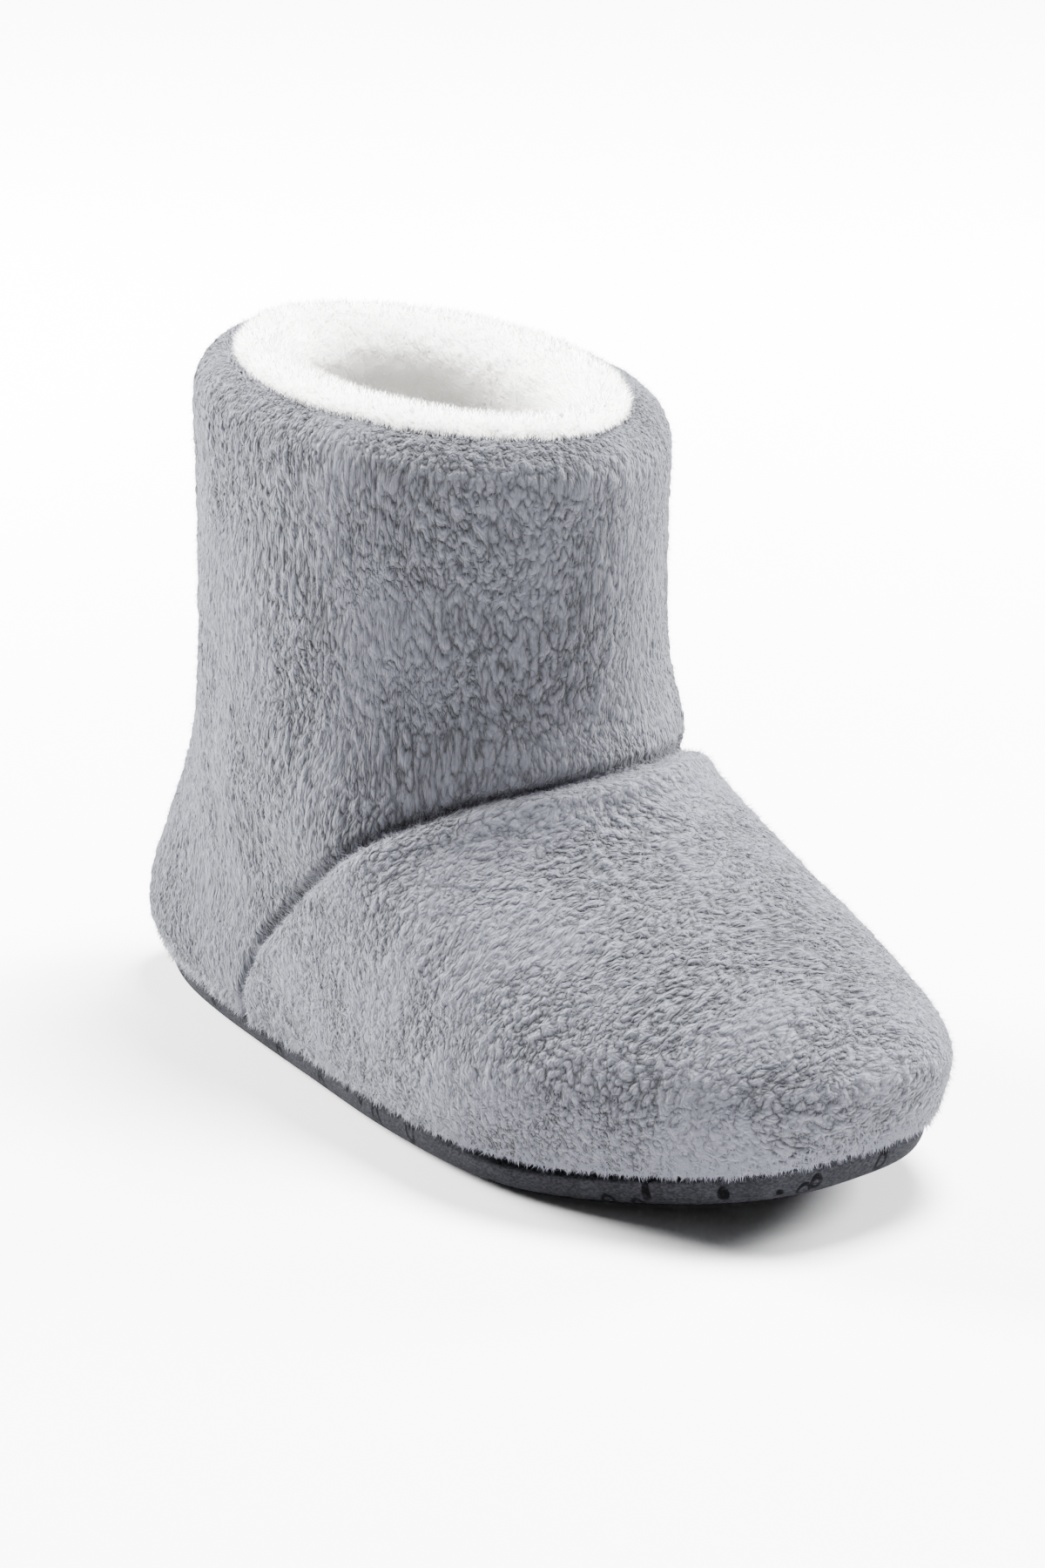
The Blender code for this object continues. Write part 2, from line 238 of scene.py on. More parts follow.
class Comb(Enum):
    """Which way the strands of a piece are brushed."""

    DOWN = (0.0, 0.0, -1.0)
    UP = (0.0, 0.0, 1.0)


@dataclass(frozen=True)
class PileFinish:
    """Pile in worm-like tufts: ridges with thin dark valleys between them, whose darker colour is painted
    shade.
    """

    name: str
    slot: str
    ridge: Triple
    # Colour of the valleys between tufts, darker than the ridges as painted shade
    valley: Triple
    tuft: float
    stretch: Triple
    swell: float
    depth: float
    relief: float
    lock: float = 0.48
    lock_share: float = 0.38
    roundness: float = 0.7
    rest: float = 0.6
    sway: float = 0.009
    sway_scale: float = 30.0
    zone_length: float = 0.022
    zone_edge: tuple[float, float] = (-0.18, 0.10)
    zone_share: float = 0.32
    shade_length: float = 0.030
    shade: float = 0.06
    fibre: float = 0.10
    fibre_length: float = 0.00042
    fibre_relief: float = 0.30
    valley_end: float = 0.16
    ridge_start: float = 0.80
    # Share by which the colour darkens at the seam, as painted shade
    seam_shade: float = 0.45
    sheen: float = 0.10

    def height(self, bench: Bench, place: bpy.types.NodeSocket) -> Value:
        """Height of the pile, 0 in a valley and 1 on a tuft. Valleys lie where a noise crosses zero.

        Args:
            bench: Tree of the material or of the shape, so that both have the same tufts.
            place: Place on the pile, stretched along its nap.

        Returns:
            The height.
        """
        clump = self.swollen(bench.noise(place, self.tuft))
        lock = self.swollen(bench.noise(place, self.lock * self.tuft))
        zone = bench.noise(place, self.zone_length, 1.0).step(*self.zone_edge)
        valley = 1.0 - (1.0 - self.lock_share) * clump - self.lock_share * lock
        return 1.0 - valley * ((1.0 - self.zone_share) + self.zone_share * zone)

    def swollen(self, noise: Value) -> Value:
        """Rounded tufts up to 1 on both sides of a noise's zero, where a valley of 0 stays between them."""
        return (noise.size() * self.swell).apply("MINIMUM", 1.0).apply("POWER", self.roundness)

    def shape(self) -> bpy.types.NodeTree:
        """Geometry nodes that raise the ridges and keep the place on the pile for the material.

        Returns:
            The node group.
        """
        group = bpy.data.node_groups.new(f"{self.name}_shape", "GeometryNodeTree")
        group.interface.new_socket("Geometry", in_out="INPUT", socket_type="NodeSocketGeometry")
        group.interface.new_socket("Geometry", in_out="OUTPUT", socket_type="NodeSocketGeometry")
        bench = Bench(group)
        start = bench.node("NodeGroupInput", {}, {})
        position = bench.node("GeometryNodeInputPosition", {}, {}).outputs[0]
        sockets = {"Vector": position, "Scale": self.sway_scale, "Detail": 1.0}
        clouds = bench.node("ShaderNodeTexNoise", {}, sockets).outputs[1]
        swing = bench.scaled(clouds, (self.sway, self.sway, self.sway))
        nap = bench.vector("ADD", {0: bench.scaled(position, self.stretch), 1: swing})
        kept = bench.node(
            "GeometryNodeStoreNamedAttribute",
            {"data_type": "FLOAT_VECTOR", "domain": "POINT"},
            {"Geometry": start.outputs[0], "Name": "nap", "Value": nap},
        )
        height = self.height(bench, nap)
        marked = bench.node(
            "GeometryNodeStoreNamedAttribute",
            {"data_type": "FLOAT", "domain": "POINT"},
            {"Geometry": kept.outputs[0], "Name": "tuft", "Value": height},
        )
        named = bench.node("GeometryNodeInputNamedAttribute", {"data_type": "FLOAT"}, {"Name": "hold"})
        lift = (height - self.rest) * self.depth * Value(bench, named.outputs[0])
        normal = bench.node("GeometryNodeInputNormal", {}, {}).outputs[0]
        offset = bench.vector("SCALE", {0: normal, "Scale": lift})
        moved = bench.node("GeometryNodeSetPosition", {}, {"Geometry": marked.outputs[0], "Offset": offset})
        bench.node("NodeGroupOutput", {}, {0: moved.outputs[0]})
        return group

    def material(self) -> bpy.types.Material:
        """The pile's look: lighter ridges, valleys in a darker colour as painted shade, fine fibres, soft
        random clouds of tone and painted shade along the seam.

        Returns:
            The material.
        """
        made, bench, shader = fresh_material(self.name)
        nap = bench.node("ShaderNodeAttribute", {"attribute_name": "nap"}, {}).outputs["Vector"]
        height = self.height(bench, nap)
        fibre = bench.noise(bench.scaled(nap, (1.0, 1.0, 0.35)), self.fibre_length, 2.0)
        cloud = bench.noise(nap, self.shade_length, 2.0)
        # Painted shade: the valleys between tufts take the darker valley colour
        bare = bench.mixed(height.step(self.valley_end, self.ridge_start), self.valley, self.ridge)
        # Painted shade at the seam: hold falls from 1 to 0 towards the seam, and the colour darkens there by
        # up to seam_shade
        hold = Value(bench, bench.node("ShaderNodeAttribute", {"attribute_name": "hold"}, {}).outputs["Fac"])
        mottle = 1.0 + cloud * (2.0 * self.shade) + fibre * (2.0 * self.fibre)
        tint = mottle * ((1.0 - self.seam_shade) + self.seam_shade * hold)
        lit = bench.vector("SCALE", {0: bare, "Scale": tint})
        surface = height * self.relief + fibre * (self.fibre_relief * self.relief)
        bench.plug(shader, {"Base Color": lit, "Normal": bench.bumped(surface)})
        bench.plug(shader, {"Roughness": 0.95, "Specular IOR Level": 0.15})
        bench.plug(shader, {"Sheen Weight": self.sheen, "Sheen Roughness": 0.6})
        return made

    def raise_on(self, piece: bpy.types.Object) -> None:
        """Raises the tufts on a piece that keeps for each vertex how far they may rise."""
        finish_with(piece, "NODES", node_group=self.shape())
        bpy.ops.object.shade_smooth()


@dataclass(frozen=True)
class StrandFinish:
    """One plain colour for loose strands."""

    name: str
    colour: Triple

    def material(self) -> bpy.types.Material:
        """A plain soft material.

        Returns:
            The material.
        """
        made, bench, shader = fresh_material(self.name)
        bench.plug(shader, {"Base Color": (*self.colour, 1.0), "Roughness": 0.9})
        bench.plug(shader, {"Specular IOR Level": 0.1, "Sheen Weight": 0.1})
        return made


@dataclass(frozen=True)
class ClothFinish:
    """Heathered cloth of the sole cover, printed with small rings."""

    name: str
    slot: str
    base: Triple
    fleck: Triple
    print_colour: Triple
    motif: float
    yarn_length: float = 0.0009
    yarn_relief: float = 0.00035
    fleck_edge: tuple[float, float] = (-0.22, 0.26)
    cloud_length: float = 0.012
    cloud_share: float = 0.35
    ring_at: float = 0.20
    ring_edge: tuple[float, float] = (0.035, 0.065)
    dot_edge: tuple[float, float] = (0.03, 0.07)
    worn_length: float = 0.0022
    worn_edge: tuple[float, float] = (-0.25, 0.05)
    worn_print: float = 0.55
    full_print: float = 0.40

    def material(self) -> bpy.types.Material:
        """Cloth with a fine weave, flecks of lighter yarn and faint printed rings.

        Returns:
            The material.
        """
        made, bench, shader = fresh_material(self.name)
        place = bench.node("ShaderNodeTexCoord", {}, {}).outputs["Object"]
        yarn = bench.noise(bench.scaled(place, (1.0, 1.0, 1.6)), self.yarn_length, 3.0)
        cloud = bench.noise(place, self.cloud_length, 2.0)
        flecks = (yarn + self.cloud_share * cloud).step(*self.fleck_edge)
        cloth = bench.mixed(flecks, self.base, self.fleck)
        settings = {"feature": "F1", "voronoi_dimensions": "3D"}
        tall = bench.scaled(place, (1.0, 1.0, 0.35))
        sockets = {"Vector": tall, "Scale": 1.0 / self.motif, "Randomness": 0.75}
        reach = Value(bench, bench.node("ShaderNodeTexVoronoi", settings, sockets).outputs["Distance"])
        ring = 1.0 - (reach - self.ring_at).size().step(*self.ring_edge)
        dot = 1.0 - reach.step(*self.dot_edge)
        worn = bench.noise(place, self.worn_length, 2.0).step(*self.worn_edge)
        mark = ring.apply("MAXIMUM", dot) * (self.worn_print + self.full_print * worn)
        colour = bench.mixed(mark, cloth, self.print_colour)
        weave = bench.bumped(yarn * self.yarn_relief)
        bench.plug(shader, {"Base Color": colour, "Normal": weave})
        bench.plug(shader, {"Roughness": 0.92, "Specular IOR Level": 0.03})
        return made


# Painted shade: the darker colour in the valleys between the plush's tufts
VALLEY_SHADE = (0.017, 0.018, 0.022)
PLUSH = PileFinish(
    "vamp_plush", "plush", (0.091, 0.093, 0.113), VALLEY_SHADE,
    tuft=0.0020, stretch=(1.0, 0.50, 0.75), swell=3.2, depth=0.0011, relief=0.0016,
)
# Painted shade: the shaft's plush is a darker copy of the vamp's, for the shade on its upright sides
SHADED_SHAFT_PLUSH = PileFinish(
    "shaft_plush", "plush", (0.069, 0.071, 0.087), VALLEY_SHADE,
    tuft=0.0019, stretch=(1.0, 1.0, 0.42), swell=3.1, depth=0.0012, relief=0.0017,
)
# Painted shade: the white pile's valleys are a warmer, darker beige
WHITE_PILE = PileFinish(
    "white_pile", "pile", (0.94, 0.925, 0.895), (0.86, 0.82, 0.76),
    tuft=0.0030, stretch=(1.0, 1.0, 1.0), swell=4.0, depth=0.0009, relief=0.0005,
    fibre=0.05, shade=0.02,
)
# Painted shade: the footbed is a warmer, darker copy of the white pile, for the shade deep inside the boot
SHADED_FOOTBED_PILE = PileFinish(
    "footbed_pile", "footbed", (0.88, 0.86, 0.82), (0.74, 0.70, 0.65),
    tuft=0.0030, stretch=(1.0, 1.0, 1.0), swell=4.0, depth=0.0004, relief=0.0005,
    fibre=0.05, shade=0.02,
)
SOLE_CLOTH = ClothFinish(
    "sole_cloth", "sole_cloth", base=(0.009, 0.0092, 0.0108), fleck=(0.024, 0.0245, 0.0285),
    print_colour=(0.0012, 0.0012, 0.0016), motif=0.008,
)


def fresh_material(name: str) -> tuple[bpy.types.Material, Bench, bpy.types.Node]:
    """Starts a material.

    Args:
        name: Its name.

    Returns:
        The material, a bench on its nodes and its shader.
    """
    made = bpy.data.materials.new(name)
    made.use_nodes = True
    return made, Bench(made.node_tree), made.node_tree.nodes["Principled BSDF"]


def rows_of(things: bpy.types.bpy_prop_collection, name: str) -> np.ndarray:
    """A vector of each vertex or face of a mesh.

    Args:
        things: The vertices, their normals or the faces.
        name: Name of the vector.

    Returns:
        One row for each thing.
    """
    flat = np.empty(len(things) * 3, np.float32)
    things.foreach_get(name, flat)
    return flat.reshape(-1, 3).astype(float)


def points_of(piece: bpy.types.Object) -> np.ndarray:
    """Places of a piece's vertices, one row for each."""
    return rows_of(piece.data.vertices, "co")


def normals_of(piece: bpy.types.Object) -> np.ndarray:
    """Normals at a piece's vertices, one row for each."""
    return rows_of(piece.data.vertex_normals, "vector")


def centres_of(piece: bpy.types.Object) -> np.ndarray:
    """Centres of a piece's faces, one row for each."""
    return rows_of(piece.data.polygons, "center")


def move_points(piece: bpy.types.Object, points: np.ndarray) -> None:
    """Puts a piece's vertices at new places.

    Args:
        piece: The piece.
        points: One row for each vertex.
    """
    piece.data.vertices.foreach_set("co", points.astype(np.float32).ravel())
    piece.data.update()


def alone(piece: bpy.types.Object) -> None:
    """Makes a piece the only one selected, and active."""
    bpy.ops.object.select_all(action="DESELECT")
    piece.select_set(True)
    bpy.context.view_layer.objects.active = piece


def select_faces(piece: bpy.types.Object, chosen: np.ndarray) -> None:
    """Selects some faces of a piece and nothing else on it.

    Args:
        piece: The piece, in object mode.
        chosen: True for each face to select.
    """
    alone(piece)
    bpy.ops.object.mode_set(mode="EDIT")
    bpy.ops.mesh.select_mode(type="FACE")
    bpy.ops.mesh.select_all(action="DESELECT")
    bpy.ops.object.mode_set(mode="OBJECT")
    piece.data.polygons.foreach_set("select", chosen)
    bpy.ops.object.mode_set(mode="EDIT")


def drop_faces(piece: bpy.types.Object, chosen: np.ndarray) -> None:
    """Deletes some faces of a piece.

    Args:
        piece: The piece, in object mode.
        chosen: True for each face to delete.
    """
    select_faces(piece, chosen)
    bpy.ops.mesh.delete(type="FACE")
    bpy.ops.object.mode_set(mode="OBJECT")


def split_faces(piece: bpy.types.Object, chosen: np.ndarray, name: str) -> bpy.types.Object:
    """Moves some faces of a piece to a piece of their own.

    Args:
        piece: The piece, in object mode.
        chosen: True for each face to move.
        name: Name of the new piece.

    Returns:
        The new piece.
    """
    select_faces(piece, chosen)
    bpy.ops.mesh.separate(type="SELECTED")
    bpy.ops.object.mode_set(mode="OBJECT")
    made = next(thing for thing in bpy.context.selected_objects if thing != piece)
    made.name = name
    made.data.name = name
    return made


def finish_with(piece: bpy.types.Object, kind: str, **settings: object) -> None:
    """Adds a modifier to a piece and applies it.

    Args:
        piece: The piece.
        kind: Type of the modifier.
        settings: Its properties.
    """
    alone(piece)
    modifier = piece.modifiers.new(kind.lower(), kind)
    for name, setting in settings.items():
        setattr(modifier, name, setting)
    bpy.ops.object.modifier_apply(modifier=modifier.name)


def copy_of(node: str, name: str, rounds: int, grain: float = 0.0) -> bpy.types.Object:
    """A copy of a solid, merged and rounded, with an even skin of small faces if a grain is given.

    Args:
        node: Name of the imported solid.
        name: Name of the copy.
        rounds: Rounds of subdivision.
        grain: Size of the small faces in metres, or 0 to keep the subdivided ones.

    Returns:
        The copy, at the origin.
    """
    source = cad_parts[node]
    piece = bpy.data.objects.new(name, source.data.copy())
    piece.data.name = name
    piece.data.materials.clear()
    bpy.context.scene.collection.objects.link(piece)
    alone(piece)
    bpy.ops.object.mode_set(mode="EDIT")
    bpy.ops.mesh.select_all(action="SELECT")
    bpy.ops.mesh.remove_doubles(threshold=0.00001)
    bpy.ops.mesh.tris_convert_to_quads(face_threshold=math.pi, shape_threshold=math.pi)
    bpy.ops.object.mode_set(mode="OBJECT")
    finish_with(piece, "SUBSURF", levels=rounds, render_levels=rounds)
    if grain:
        finish_with(piece, "REMESH", mode="VOXEL", voxel_size=grain, adaptivity=0.0)
    bpy.ops.object.shade_smooth()
    return piece


def near_to(points: np.ndarray, nodes: list[str], reach: float) -> np.ndarray:
    """Which points lie within reach of some solids.

    Args:
        points: One row for each point.
        nodes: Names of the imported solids.
        reach: Distance in metres.

    Returns:
        True for each point within reach.
    """
    found = np.zeros(len(points), bool)
    for node in nodes:
        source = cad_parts[node].data
        source.calc_loop_triangles()
        corners = [vertex.co for vertex in source.vertices]
        tree = BVHTree.FromPolygons(corners, [tuple(face.vertices) for face in source.loop_triangles])
        for index, point in enumerate(points):
            if not found[index]:
                found[index] = tree.find_nearest(Vector(point), reach)[0] is not None
    return found


def store(piece: bpy.types.Object, name: str, values: np.ndarray) -> None:
    """Keeps a number for each vertex of a piece.

    Args:
        piece: The piece.
        name: Name of the attribute.
        values: One number for each vertex.
    """
    kept = piece.data.attributes.new(name, "FLOAT", "POINT")
    kept.data.foreach_set("value", values.astype(np.float32))


def dress(piece: bpy.types.Object, finish: PileFinish | ClothFinish | StrandFinish) -> None:
    """Gives a piece its finish and lets it ride on the slipper.

    Args:
        piece: The piece.
        finish: Its finish.
    """
    piece.data.materials.clear()
    piece.data.materials.append(finish.material())
    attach(piece, "root")
    LOG.info("%s: %d faces", piece.name, len(piece.data.polygons))


@dataclass(frozen=True)
class Crease:
    """A soft trough or ridge that is placed from one point on the slipper to another."""

    start: Triple
    end: Triple
    rise: float
    width: float
    faded: float = 0.35

    def lift(self, points: np.ndarray) -> np.ndarray:
        """How far each point is moved outwards.

        Args:
            points: One row for each point.

        Returns:
            One length for each point.
        """
        start = np.array(self.start)
        way = np.array(self.end) - start
        length = float(np.linalg.norm(way))
        share = np.clip((points - start) @ way / length**2, 0.0, 1.0)
        off = np.linalg.norm(points - start - share[:, None] * way, axis=1)
        bow = np.sin(math.pi * np.clip(share, 0.02, 0.98)) ** 0.7
        taper = self.faded + (1.0 - self.faded) * bow
        return self.rise * taper * hump(off / self.width)


@dataclass(frozen=True)
class Fuzz:
    """Loose strands on a pile, each a thin blade that leans the way the pile is combed."""

    name: str
    colour: Triple
    count: int
    length: float
    width: float
    lean: float
    comb: Comb
    wild: float
    seed: int
    lean_spread: tuple[float, float] = (0.55, 1.3)
    length_spread: tuple[float, float] = (0.55, 1.25)
    rooted: float = 0.0002
    softness: float = 0.85
    valley_growth: float = 0.2

    def build(self, pile: bpy.types.Object, slot: str, weight: np.ndarray | None = None) -> None:
        """Plants the strands on a piece, as one piece of their own.

        Args:
            pile: The piece that they grow on, with a tuft height on each vertex.
            slot: The record's material slot, which is not used.
            weight: How thickly they grow at each vertex, or None for evenly on the ridges.
        """
        rng = np.random.default_rng(self.seed)
        mesh = pile.data
        mesh.calc_loop_triangles()
        corners = np.empty(len(mesh.loop_triangles) * 3, np.int32)
        mesh.loop_triangles.foreach_get("vertices", corners)
        corners = corners.reshape(-1, 3)
        points = points_of(pile)
        normals = normals_of(pile)
        tuft = np.empty(len(points), np.float32)
        mesh.attributes["tuft"].data.foreach_get("value", tuft)
        growth = tuft**2
        if weight is not None:
            growth = weight * (self.valley_growth + (1.0 - self.valley_growth) * tuft)
        a, b, c = (points[corners[:, k]] for k in range(3))
        area = np.linalg.norm(np.cross(b - a, c - a), axis=1) * growth[corners].mean(axis=1)
        picked = rng.choice(len(corners), self.count, p=area / area.sum())
        shares = rng.dirichlet((1.0, 1.0, 1.0), self.count)[:, :, None]
        root = (points[corners[picked]] * shares).sum(axis=1)
        normal = unit((normals[corners[picked]] * shares).sum(axis=1))
        brushed = np.array(self.comb.value) + self.wild * rng.normal(size=(self.count, 3))
        flat = unit(brushed - (brushed * normal).sum(axis=1)[:, None] * normal)
        lean = np.radians(self.lean) * rng.uniform(*self.lean_spread, self.count)[:, None]
        way = normal * np.cos(lean) + flat * np.sin(lean)
        length = (self.length * rng.uniform(*self.length_spread, self.count))[:, None]
        side = unit(np.cross(way, normal)) * self.width / 2
        root = root - normal * self.rooted
        blades = np.stack([root - side, root + side, root + way * length], axis=1)
        facing = np.cross(blades[:, 1] - blades[:, 0], blades[:, 2] - blades[:, 0])
        turned = (facing * normal).sum(axis=1) < 0
        blades[turned] = blades[turned][:, [1, 0, 2]]
        data = bpy.data.meshes.new(self.name)
        data.vertices.add(self.count * 3)
        data.vertices.foreach_set("co", blades.astype(np.float32).ravel())
        data.loops.add(self.count * 3)
        data.loops.foreach_set("vertex_index", np.arange(self.count * 3, dtype=np.int32))
        data.polygons.add(self.count)
        data.polygons.foreach_set("loop_start", np.arange(0, self.count * 3, 3, dtype=np.int32))
        data.update(calc_edges=True)
        soft = unit(normal * self.softness + way * (1.0 - self.softness))
        data.normals_split_custom_set_from_vertices(np.repeat(soft, 3, axis=0))
        piece = bpy.data.objects.new(self.name, data)
        bpy.context.scene.collection.objects.link(piece)
        dress(piece, StrandFinish(self.name, self.colour))


# Growth at a place that is to stay bare, just over 0 so that shares of it can be taken
BARE = 1e-6
PLUSH_STRAND = (0.094, 0.096, 0.117)
# Painted shade: the strands of the shaft and the collar are darker than the vamp's, like the shaft's plush
SHADED_SHAFT_STRAND = (0.072, 0.074, 0.090)
VAMP_FRINGE = Fuzz(
    "vamp_fringe", PLUSH_STRAND, 16000,
    length=0.0024, width=0.00050, lean=76.0, comb=Comb.DOWN, wild=0.35, seed=14,
)
SHAFT_FRINGE = replace(VAMP_FRINGE, name="shaft_fringe", seed=15)
COLLAR_FRINGE = Fuzz(
    "collar_fringe", SHADED_SHAFT_STRAND, 12000,
    length=0.0026, width=0.00035, lean=60.0, comb=Comb.UP, wild=0.6, seed=16,
)
VAMP_STRANDS = Fuzz(
    "vamp_strands", PLUSH_STRAND, 70000,
    length=0.0024, width=0.00012, lean=62.0, comb=Comb.DOWN, wild=0.55, seed=11,
)
SHAFT_STRANDS = Fuzz(
    "shaft_strands", SHADED_SHAFT_STRAND, 75000,
    length=0.0024, width=0.00012, lean=62.0, comb=Comb.DOWN, wild=0.45, seed=12,
)
RIM_STRANDS = Fuzz(
    "rim_strands", (0.90, 0.895, 0.88), 110000,
    length=0.0026, width=0.00018, lean=45.0, comb=Comb.UP, wild=1.0, seed=13,
)


def unit(rows: np.ndarray) -> np.ndarray:
    """Rows of vectors at length 1."""
    return rows / np.maximum(np.linalg.norm(rows, axis=-1, keepdims=True), 1e-12)


def hump(offset: np.ndarray) -> np.ndarray:
    """Soft hump, 1 at no offset and about a third at an offset of 1."""
    return np.exp(-(offset**2))


@dataclass(frozen=True)
class Collar:
    """The collar's mouth, whose plane falls to the toe."""

    slope: float = -0.049
    centre: float = -0.040

    def level(self, points: np.ndarray) -> np.ndarray:
        """Heights of points along the collar's plane, one for each."""
        return points[:, 2] - self.slope * points[:, 0]

    def outward(self, points: np.ndarray, normals: np.ndarray) -> np.ndarray:
        """How far a surface faces away from the collar's middle.

        Args:
            points: One row for each point of it.
            normals: Its normals there.

        Returns:
            One length for each point, below 0 where it faces the middle.
        """
        return normals[:, 0] * (points[:, 0] - self.centre) + normals[:, 1] * points[:, 1]


COLLAR = Collar()


@dataclass(frozen=True)
class SeamRow:
    """A point of the seam in side view: rise from the sole to the throat, and way along to the throat."""

    rise: float
    along: float


@dataclass
class Upper:
    """Plush upper: vamp and shaft, which meet in a deep seam from the throat down to the sole."""

    grain: float = 0.00095
    wall: float = 0.0024
    heel_at: float = -0.1308
    feather: float = 0.0105
    throat_height: float = 0.0930
    throat_length: float = 0.16565
    valley_hold: float = 0.0035
    lip: float = 0.0007
    lip_at: float = 0.0052
    lip_width: float = 0.0040
    groove: float = 0.0020
    groove_width: float = 0.0016
    hem_drop: float = 0.0030
    toe_drop: float = 0.0046
    hem_height: float = 0.0070
    hang_from: float = 0.9
    hang_full: float = 0.5
    toe_spring: float = 0.0115
    toe_break: float = 0.0492
    toe_end: float = 0.1312
    turn_over: float = 0.1710
    slope_reach: float = 0.03
    fringe_at: float = 0.2
    fringe_spread: float = 0.7
    seam: tuple[SeamRow, ...] = (
        SeamRow(0.000, 0.419), SeamRow(0.075, 0.434), SeamRow(0.185, 0.458), SeamRow(0.320, 0.506),
        SeamRow(0.530, 0.620), SeamRow(0.685, 0.719), SeamRow(0.815, 0.790), SeamRow(0.880, 0.843),
        SeamRow(0.945, 0.904), SeamRow(1.000, 1.000),
    )
    creases: tuple[Crease, ...] = (
        Crease((0.026, -0.030, 0.108), (0.036, 0.030, 0.103), -0.0012, 0.0060),
        Crease((0.020, -0.044, 0.122), (0.036, 0.010, 0.118), 0.0007, 0.0080),
        Crease((-0.030, -0.056, 0.118), (0.014, -0.047, 0.100), -0.0009, 0.0080),
        Crease((-0.094, -0.048, 0.098), (-0.050, -0.056, 0.088), -0.0008, 0.0075),
        Crease((-0.122, -0.020, 0.083), (-0.122, 0.022, 0.085), -0.0010, 0.0080),
        Crease((-0.120, -0.024, 0.120), (-0.119, 0.020, 0.116), -0.0006, 0.0090),
        Crease((-0.060, 0.056, 0.100), (-0.008, 0.050, 0.096), -0.0010, 0.0080),
        Crease((0.050, -0.050, 0.045), (0.058, 0.010, 0.068), -0.0007, 0.0110),
        Crease((0.078, -0.048, 0.036), (0.092, 0.020, 0.052), 0.0006, 0.0120),
        Crease((0.040, 0.052, 0.040), (0.062, 0.040, 0.060), -0.0008, 0.0090),
    )

    def ahead_of_seam(self, points: np.ndarray) -> np.ndarray:
        """How far points lie ahead of the seam in side view.

        Args:
            points: One row for each point.

        Returns:
            One distance for each point, above 0 on the vamp.
        """
        rise = (points[:, 2] - self.feather) / (self.throat_height - self.feather)
        known = np.array([row.rise for row in self.seam])
        along = np.array([row.along for row in self.seam])
        last = (along[-1] - along[-2]) / (known[-1] - known[-2])
        share = np.where(rise > 1.0, along[-1] + (rise - 1.0) * last, np.interp(rise, known, along))
        reach = self.slope_reach
        slope = np.interp(rise + reach, known, along) - np.interp(rise - reach, known, along)
        slope = np.where(rise > 1.0 - reach, last, slope / (2.0 * reach))
        run = slope * self.throat_length / (self.throat_height - self.feather)
        return (points[:, 0] - self.heel_at - share * self.throat_length) / np.sqrt(1.0 + run**2)

    def over_sole(self, points: np.ndarray) -> np.ndarray:
        """How high points lie above the sole's upper edge, which rises to the toe.

        Args:
            points: One row for each point.

        Returns:
            One number for each point, 1 at the height that the hem takes up.
        """
        return (points[:, 2] - self.feather - self.toe_spring * self.bend(points) ** 2) / self.hem_height

    def bend(self, points: np.ndarray) -> np.ndarray:
        """How far along the bent-up toe points lie, 0 behind it and 1 at its end."""
        return np.clip((points[:, 0] - self.toe_break) / (self.toe_end - self.toe_break), 0.0, 1.2)

    def build(self) -> tuple[bpy.types.Object, bpy.types.Object]:
        """Makes the two skins of plush.

        Returns:
            Vamp and shaft.
        """
        skin = copy_of("upper", "shaft_plush", 2, self.grain)
        centres = centres_of(skin)
        inside = near_to(centres, ["lining", "insole"], self.wall)
        drop_faces(skin, inside & (COLLAR.level(centres) < self.turn_over))
        points = points_of(skin)
        normals = normals_of(skin)
        ahead = self.ahead_of_seam(points)
        lift = sum(crease.lift(points) for crease in self.creases)
        lift = lift + self.lip * hump((ahead - self.lip_at) / self.lip_width)
        lift = lift - self.groove * hump(ahead / self.groove_width)
        points += normals * lift[:, None]
        sideways = np.clip((self.hang_from + normals[:, 2]) / self.hang_full, 0.0, 1.0)
        hang = hump(self.over_sole(points)) * sideways
        points[:, 2] -= (self.hem_drop + self.toe_drop * np.minimum(self.bend(points), 1.0)) * hang
        move_points(skin, points)
        # hold, 0 at the seam and 1 a little away from it, lowers the tufts into the seam and darkens their
        # colour there as painted shade
        store(skin, "hold", np.clip(np.abs(ahead) / self.valley_hold, 0.0, 1.0))
        vamp = split_faces(skin, self.ahead_of_seam(centres_of(skin)) > 0.0, "vamp_plush")
        for piece, finish in ((vamp, PLUSH), (skin, SHADED_SHAFT_PLUSH)):
            finish.raise_on(piece)
            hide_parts("upper")
            dress(piece, finish)
        return vamp, skin

    def grow(self, vamp: bpy.types.Object, shaft: bpy.types.Object) -> None:
        """Plants the loose strands of the plush, and its fringes at the sole and at the collar.

        Args:
            vamp: The vamp's skin.
            shaft: The shaft's skin.
        """
        for fringe, piece in ((VAMP_FRINGE, vamp), (SHAFT_FRINGE, shaft)):
            low = (self.over_sole(points_of(piece)) + self.fringe_at) / self.fringe_spread
            fringe.build(piece, "plush", hump(low) + BARE)
        points = points_of(shaft)
        turned_in = COLLAR.outward(points, normals_of(shaft)) < 0.0
        high = COLLAR.level(points) > self.turn_over
        COLLAR_FRINGE.build(shaft, "plush", np.where(high & turned_in, 1.0, BARE))
        VAMP_STRANDS.build(vamp, "plush")
        SHAFT_STRANDS.build(shaft, "plush")


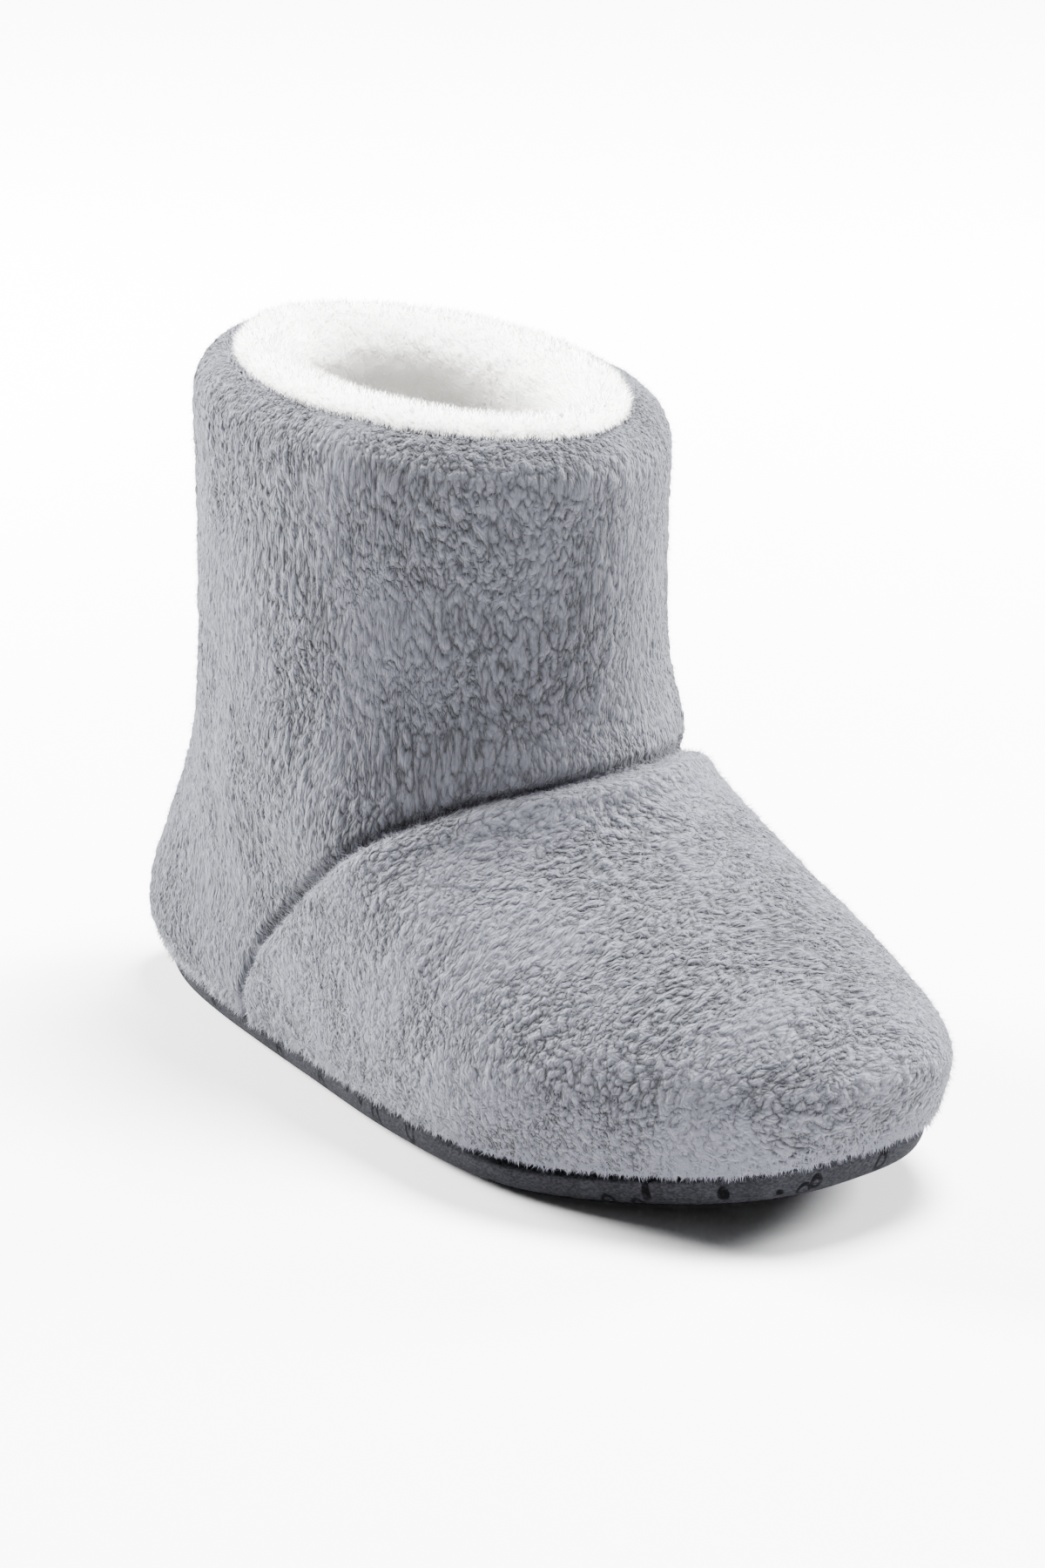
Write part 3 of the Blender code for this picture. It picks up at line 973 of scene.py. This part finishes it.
@dataclass
class Lining:
    """White pile inside the upper, filled out into the rim at the collar."""

    grain: float = 0.00135
    hidden: float = 0.0022
    rim_from: float = 0.140
    rim_growth: float = 0.02
    rim_swell: float = 0.0024
    rim_height: float = 0.1740
    rim_depth: float = 0.012
    rim_rise: float = 0.008
    rim_inside: float = 0.6
    mouth_radius: float = 0.050

    def build(self) -> bpy.types.Object:
        """Makes the pile and its rim.

        Returns:
            The pile.
        """
        pile = copy_of("lining", "white_pile", 2, self.grain)
        centres = centres_of(pile)
        hidden = near_to(centres, ["upper", "insole"], self.hidden)
        drop_faces(pile, hidden & (COLLAR.level(centres) < self.rim_height - self.rim_depth))
        points = points_of(pile)
        normals = normals_of(pile)
        up = (COLLAR.level(points) - self.rim_height) / self.rim_rise
        outward = COLLAR.outward(points, normals) / self.mouth_radius
        faces_out = np.clip(self.rim_inside + outward, 0.0, 1.0)
        swell = self.rim_swell * np.clip(up, 0.0, 1.0) * faces_out
        points += normals * swell[:, None]
        move_points(pile, points)
        store(pile, "hold", np.ones(len(points)))
        WHITE_PILE.raise_on(pile)
        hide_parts("lining")
        dress(pile, WHITE_PILE)
        return pile

    def grow(self, pile: bpy.types.Object) -> None:
        """Plants the loose strands of the rim.

        Args:
            pile: The pile.
        """
        height = points_of(pile)[:, 2]
        weight = np.clip((height - self.rim_from) / self.rim_growth, 0.02, 1.0)
        RIM_STRANDS.build(pile, "pile", weight)


@dataclass
class Footbed:
    """Padded footbed in white pile."""

    rounds: int = 3

    def build(self) -> None:
        """Makes the footbed."""
        bed = copy_of("insole", "footbed_pile", self.rounds)
        store(bed, "hold", np.ones(len(bed.data.vertices)))
        SHADED_FOOTBED_PILE.raise_on(bed)
        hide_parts("insole")
        dress(bed, SHADED_FOOTBED_PILE)


@dataclass
class Sole:
    """Soft sole in its cloth cover."""

    rounds: int = 3

    def build(self) -> None:
        """Makes the cover of the sole."""
        cover = copy_of("outsole", "sole_cover", self.rounds)
        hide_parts("outsole")
        dress(cover, SOLE_CLOTH)


@dataclass(frozen=True)
class Lamp:
    """A soft square light that faces the slipper, with its power in watts."""

    name: str
    place: Triple
    power: float


@dataclass
class Studio:
    """Pale floor, soft lights and the camera at the photograph's angle."""

    camera_at: Triple = (1.103, -0.922, 0.566)
    aim: Triple = (0.002, 0.0, 0.082)
    lens: float = 203.0
    floor_size: float = 80.0
    floor_colour: Triple = (0.80, 0.80, 0.81)
    floor_glow: float = 7.0
    glow_from: float = 0.20
    glow_to: float = 1.00
    sky: float = 0.15
    lamp_width: float = 0.5
    lamps: tuple[Lamp, ...] = (
        Lamp("left_light", (-1.25, -0.52, 0.60), 200.0),
        Lamp("right_light", (0.30, 1.38, 0.60), 120.0),
        Lamp("top_light", (0.06, 0.30, 1.35), 175.0),
    )

    def facing(self, place: Triple) -> Euler:
        """The turn that makes a camera or a light at a place face the slipper."""
        return (Vector(place) - Vector(self.aim)).to_track_quat("Z", "Y").to_euler()

    def build(self) -> None:
        """Sets the floor, the lights and the camera."""
        self.lay_floor()
        self.hang_lamps()
        self.set_camera()

    def lay_floor(self) -> None:
        """Lays the pale floor, which glows from a little way around the slipper."""
        bpy.ops.mesh.primitive_plane_add(size=self.floor_size, location=(0.0, 0.0, -0.0003))
        floor = bpy.context.object
        floor.name = "floor"
        made, bench, shader = fresh_material("pale_floor")
        bench.plug(shader, {"Base Color": (*self.floor_colour, 1.0), "Roughness": 0.75})
        place = bench.node("ShaderNodeTexCoord", {}, {}).outputs["Object"]
        length = bench.node("ShaderNodeVectorMath", {"operation": "LENGTH"}, {0: place})
        away = Value(bench, length.outputs["Value"])
        glow = bench.mixed(away.step(self.glow_from, self.glow_to), (0.0, 0.0, 0.0), (1.0, 1.0, 1.0))
        bench.plug(shader, {"Emission Color": glow, "Emission Strength": self.floor_glow})
        floor.data.materials.append(made)

    def hang_lamps(self) -> None:
        """Hangs the lights and sets the soft light of the room."""
        for lamp in self.lamps:
            bpy.ops.object.light_add(type="AREA", location=lamp.place)
            hung = bpy.context.object
            hung.name = lamp.name
            hung.data.size = self.lamp_width
            hung.data.energy = lamp.power
            hung.rotation_euler = self.facing(lamp.place)
        world = bpy.data.worlds.new("soft_room")
        bpy.context.scene.world = world
        world.use_nodes = True
        sockets = {"Color": (0.95, 0.97, 1.0, 1.0), "Strength": self.sky}
        Bench(world.node_tree).plug(world.node_tree.nodes["Background"], sockets)

    def set_camera(self) -> None:
        """Puts the camera at the photograph's angle."""
        bpy.ops.object.camera_add(location=self.camera_at)
        camera = bpy.context.object
        camera.name = "camera"
        camera.data.sensor_fit = "HORIZONTAL"
        camera.data.sensor_width = 36.0
        camera.data.lens = self.lens
        camera.rotation_euler = self.facing(self.camera_at)
        bpy.context.scene.camera = camera


def main() -> None:
    """Builds the slipper and its studio."""
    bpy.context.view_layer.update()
    upper = Upper()
    vamp, shaft = upper.build()
    lining = Lining()
    pile = lining.build()
    Footbed().build()
    Sole().build()
    upper.grow(vamp, shaft)
    lining.grow(pile)
    Studio().build()


if __name__ == "__main__":
    logging.basicConfig(level=logging.INFO)
    main()
